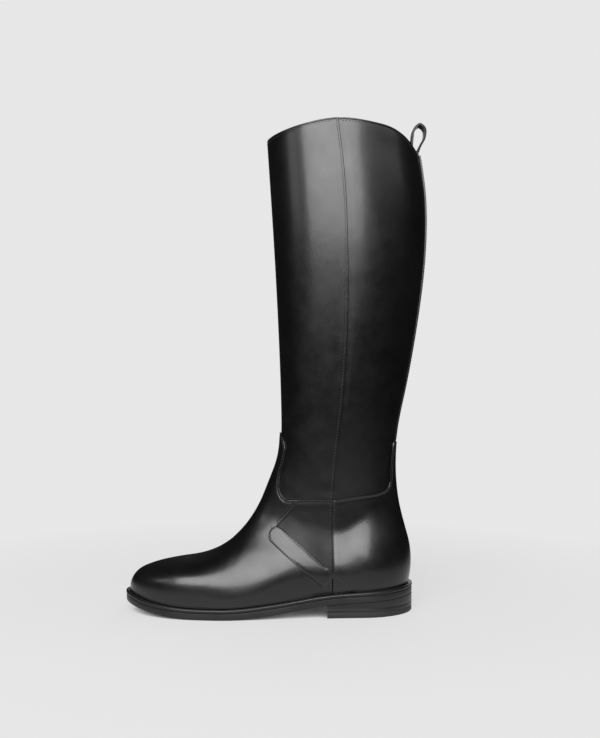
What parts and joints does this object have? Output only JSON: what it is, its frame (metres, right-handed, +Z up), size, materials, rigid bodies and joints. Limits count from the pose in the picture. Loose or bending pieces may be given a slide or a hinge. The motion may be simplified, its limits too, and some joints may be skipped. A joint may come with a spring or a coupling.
{
  "type": "riding boot",
  "caption": "Tall black leather riding boot for the left foot, with a stitched instep strap, a low stacked heel, a pull loop and a full-length inner zip.",
  "frame": {"origin": "on the ground, under the middle of the boot's box", "axes": "+Z up the shaft, toe towards -Y, outer side of the foot towards +X"},
  "size_m": [0.0997, 0.2898, 0.4665],
  "materials": {
    "upper_leather": "smooth polished black calf leather",
    "lining_leather": "plain matte lining leather",
    "stiffener": "impregnated stiffener sheet",
    "board": "pressed fibre board",
    "sole_leather": "black stained sole leather with a satin edge",
    "heel_rubber": "matte black rubber",
    "steel": "plain steel",
    "zip_metal": "dark nickel",
    "zip_tape": "woven black tape",
    "zip_guard": "soft black leather"
  },
  "bodies": {
    "boot": {"vamp": "upper_leather", "heel_quarter": "upper_leather", "ankle_panel": "upper_leather", "instep_strap": "upper_leather", "shaft_front": "upper_leather", "shaft_rear_outer": "upper_leather", "shaft_rear_inner": "upper_leather", "back_stay": "upper_leather", "pull_loop": "upper_leather", "lining_front": "lining_leather", "lining_rear_outer": "lining_leather", "lining_rear_inner": "lining_leather", "lining_back_strip": "lining_leather", "lining_foot": "lining_leather", "heel_grip": "lining_leather", "insock": "lining_leather", "heel_pad": "lining_leather", "toe_puff": "stiffener", "heel_counter": "stiffener", "insole_board": "board", "bottom_filler": "board", "outsole": "sole_leather", "welt": "sole_leather", "heel_lift_upper": "sole_leather", "heel_lift_lower": "sole_leather", "heel_top_piece": "heel_rubber", "shank": "steel", "heel_nail_1": "steel", "heel_nail_2": "steel", "heel_nail_3": "steel", "heel_nail_4": "steel", "heel_nail_5": "steel", "zip_row_front": "zip_metal", "zip_row_rear": "zip_metal", "zip_top_stop_front": "zip_metal", "zip_top_stop_rear": "zip_metal", "zip_bottom_stop": "zip_metal", "zip_tape_front": "zip_tape", "zip_tape_rear": "zip_tape", "zip_guard": "zip_guard"},
    "slider": {"zip_slider": "zip_metal"},
    "pull": {"zip_pull": "zip_metal"}
  },
  "joints": [
    {"name": "zip_slide", "type": "slide", "parent": "boot", "child": "slider", "axis": [0.0513, -0.0221, -0.9984], "range_m": [0, 0.352]},
    {"name": "zip_pull_swing", "type": "hinge", "parent": "slider", "child": "pull", "pos_m": [-0.0478, 0.06475, 0.43888], "axis": [0.0011, 0.9998, -0.0221], "range_deg": [0, 170]}
  ]
}
